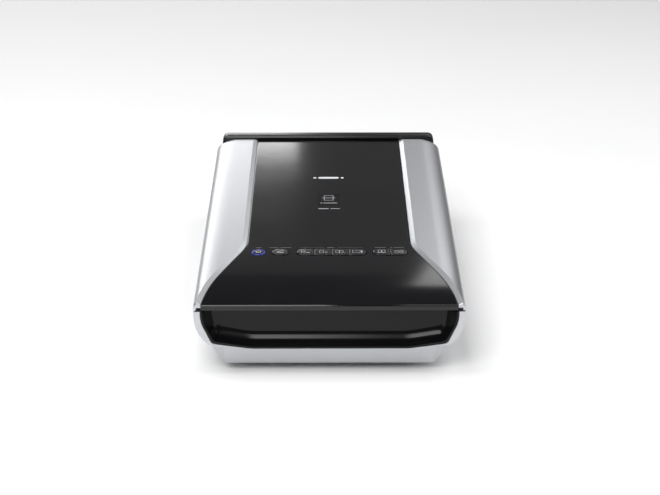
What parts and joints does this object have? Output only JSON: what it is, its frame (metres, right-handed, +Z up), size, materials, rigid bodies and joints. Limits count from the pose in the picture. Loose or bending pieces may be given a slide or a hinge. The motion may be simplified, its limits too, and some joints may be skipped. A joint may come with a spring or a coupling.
{
  "type": "flatbed scanner",
  "caption": "Flatbed scanner with a lifting hinged lid, a light for film in it, one-touch buttons, and a belt-driven scanning carriage under a glass platen.",
  "frame": {"origin": "on the desk, under the middle of the machine", "axes": "+X to the user's right, +Y away from the user, along the scan, +Z up"},
  "size_m": [0.272, 0.48, 0.111],
  "materials": {
    "silver_paint": "satin silver paint on moulded plastic",
    "gloss_black": "polished black plastic",
    "matt_black": "fine-textured black plastic",
    "rubber": "matt",
    "glass": "polished float glass",
    "white_plastic": "matt",
    "steel": "ground",
    "circuit_board": "lacquered circuit board",
    "milky_acrylic": "diffusing",
    "lit_lens": "tinted, lit from below",
    "mirror": "front-silvered"
  },
  "bodies": {
    "base": {"lower_case": "silver_paint", "front_scoop": "gloss_black", "platen_frame": "matt_black", "platen_glass": "glass", "calibration_strip": "white_plastic", "foot_front_left": "rubber", "foot_front_right": "rubber", "foot_rear_left": "rubber", "foot_rear_right": "rubber", "main_board": "circuit_board", "usb_socket": "steel", "power_jack": "matt_black", "film_unit_socket": "matt_black", "ribbon_cable": "white_plastic", "guide_rod": "steel", "rod_clip_front": "matt_black", "rod_clip_rear": "matt_black", "slide_rail": "matt_black", "drive_belt": "rubber", "idler_bracket": "steel", "stepper_motor": "steel", "left_hinge_socket": "matt_black", "right_hinge_socket": "matt_black"},
    "carriage": {"carriage_housing": "matt_black", "rod_bush": "white_plastic", "lamp_bar": "milky_acrylic", "fold_mirror": "mirror", "lens_barrel": "steel", "sensor_board": "circuit_board", "belt_clamp": "white_plastic"},
    "drive_wheel": {"drive_pulley": "white_plastic"},
    "idler_wheel": {"idler_pulley": "white_plastic"},
    "pinion": {"motor_pinion": "white_plastic"},
    "lock": {"transport_lock": "matt_black"},
    "hinge_posts": {"left_hinge_post": "matt_black", "right_hinge_post": "matt_black", "left_hinge_pin": "steel", "right_hinge_pin": "steel"},
    "lid": {"lid_tray": "matt_black", "centre_panel": "gloss_black", "left_wing": "silver_paint", "right_wing": "silver_paint", "rear_cover": "gloss_black", "film_window": "milky_acrylic", "film_light_guide": "glass", "lid_bumper_front_left": "rubber", "lid_bumper_front_right": "rubber", "lid_bumper_rear_left": "rubber", "lid_bumper_rear_right": "rubber", "power_ring": "lit_lens", "button_board": "circuit_board"},
    "mat": {"document_mat": "white_plastic"},
    "power_button_cap": {"power_button": "matt_black"},
    "auto_scan_button_cap": {"auto_scan_button": "matt_black"},
    "pdf_start_button_cap": {"pdf_start_button": "matt_black"},
    "pdf_page_button_cap": {"pdf_page_button": "matt_black"},
    "pdf_pages_button_cap": {"pdf_pages_button": "matt_black"},
    "pdf_finish_button_cap": {"pdf_finish_button": "matt_black"},
    "copy_button_cap": {"copy_button": "matt_black"},
    "mail_button_cap": {"mail_button": "matt_black"}
  },
  "joints": [
    {"name": "hinge_lift", "type": "slide", "parent": "base", "child": "hinge_posts", "axis": [0, 0, 1], "range_m": [0, 0.02]},
    {"name": "lid_hinge", "type": "hinge", "parent": "hinge_posts", "child": "lid", "pos_m": [0, 0.229, 0.08], "axis": [-1, 0, 0], "range_deg": [0, 85]},
    {"name": "mat_slide", "type": "slide", "parent": "lid", "child": "mat", "axis": [0, -1, 0], "range_m": [0, 0.01]},
    {"name": "carriage_slide", "type": "slide", "parent": "base", "child": "carriage", "axis": [0, 1, 0], "range_m": [0, 0.305], "deforming": ["ribbon_cable"]},
    {"name": "drive_pulley_spin", "type": "hinge", "parent": "base", "child": "drive_wheel", "pos_m": [-0.026, 0.208, 0.013], "axis": [0, 0, 1], "continuous": true},
    {"name": "idler_pulley_spin", "type": "hinge", "parent": "base", "child": "idler_wheel", "pos_m": [-0.026, -0.196, 0.018], "axis": [0, 0, 1], "continuous": true},
    {"name": "motor_pinion_spin", "type": "hinge", "parent": "base", "child": "pinion", "pos_m": [-0.002, 0.208, 0.013], "axis": [0, 0, 1], "continuous": true},
    {"name": "transport_lock_slide", "type": "slide", "parent": "base", "child": "lock", "axis": [1, 0, 0], "range_m": [0, 0.008]},
    {"name": "power_button_press", "type": "slide", "parent": "lid", "child": "power_button_cap", "axis": [0, 0.0565, -0.9984], "range_m": [0, 0.0008], "stiffness_N_per_m": 500},
    {"name": "auto_scan_button_press", "type": "slide", "parent": "lid", "child": "auto_scan_button_cap", "axis": [0, 0.0565, -0.9984], "range_m": [0, 0.0008], "stiffness_N_per_m": 500},
    {"name": "pdf_start_button_press", "type": "slide", "parent": "lid", "child": "pdf_start_button_cap", "axis": [0, 0.0565, -0.9984], "range_m": [0, 0.0008], "stiffness_N_per_m": 500},
    {"name": "pdf_page_button_press", "type": "slide", "parent": "lid", "child": "pdf_page_button_cap", "axis": [0, 0.0565, -0.9984], "range_m": [0, 0.0008], "stiffness_N_per_m": 500},
    {"name": "pdf_pages_button_press", "type": "slide", "parent": "lid", "child": "pdf_pages_button_cap", "axis": [0, 0.0565, -0.9984], "range_m": [0, 0.0008], "stiffness_N_per_m": 500},
    {"name": "pdf_finish_button_press", "type": "slide", "parent": "lid", "child": "pdf_finish_button_cap", "axis": [0, 0.0565, -0.9984], "range_m": [0, 0.0008], "stiffness_N_per_m": 500},
    {"name": "copy_button_press", "type": "slide", "parent": "lid", "child": "copy_button_cap", "axis": [0, 0.0565, -0.9984], "range_m": [0, 0.0008], "stiffness_N_per_m": 500},
    {"name": "mail_button_press", "type": "slide", "parent": "lid", "child": "mail_button_cap", "axis": [0, 0.0565, -0.9984], "range_m": [0, 0.0008], "stiffness_N_per_m": 500}
  ],
  "couplings": [
    {"joint": "drive_pulley_spin", "follows": "carriage_slide", "rad_per_m": 166.67},
    {"joint": "idler_pulley_spin", "follows": "carriage_slide", "rad_per_m": 166.67},
    {"joint": "motor_pinion_spin", "follows": "carriage_slide", "rad_per_m": -666.67}
  ]
}
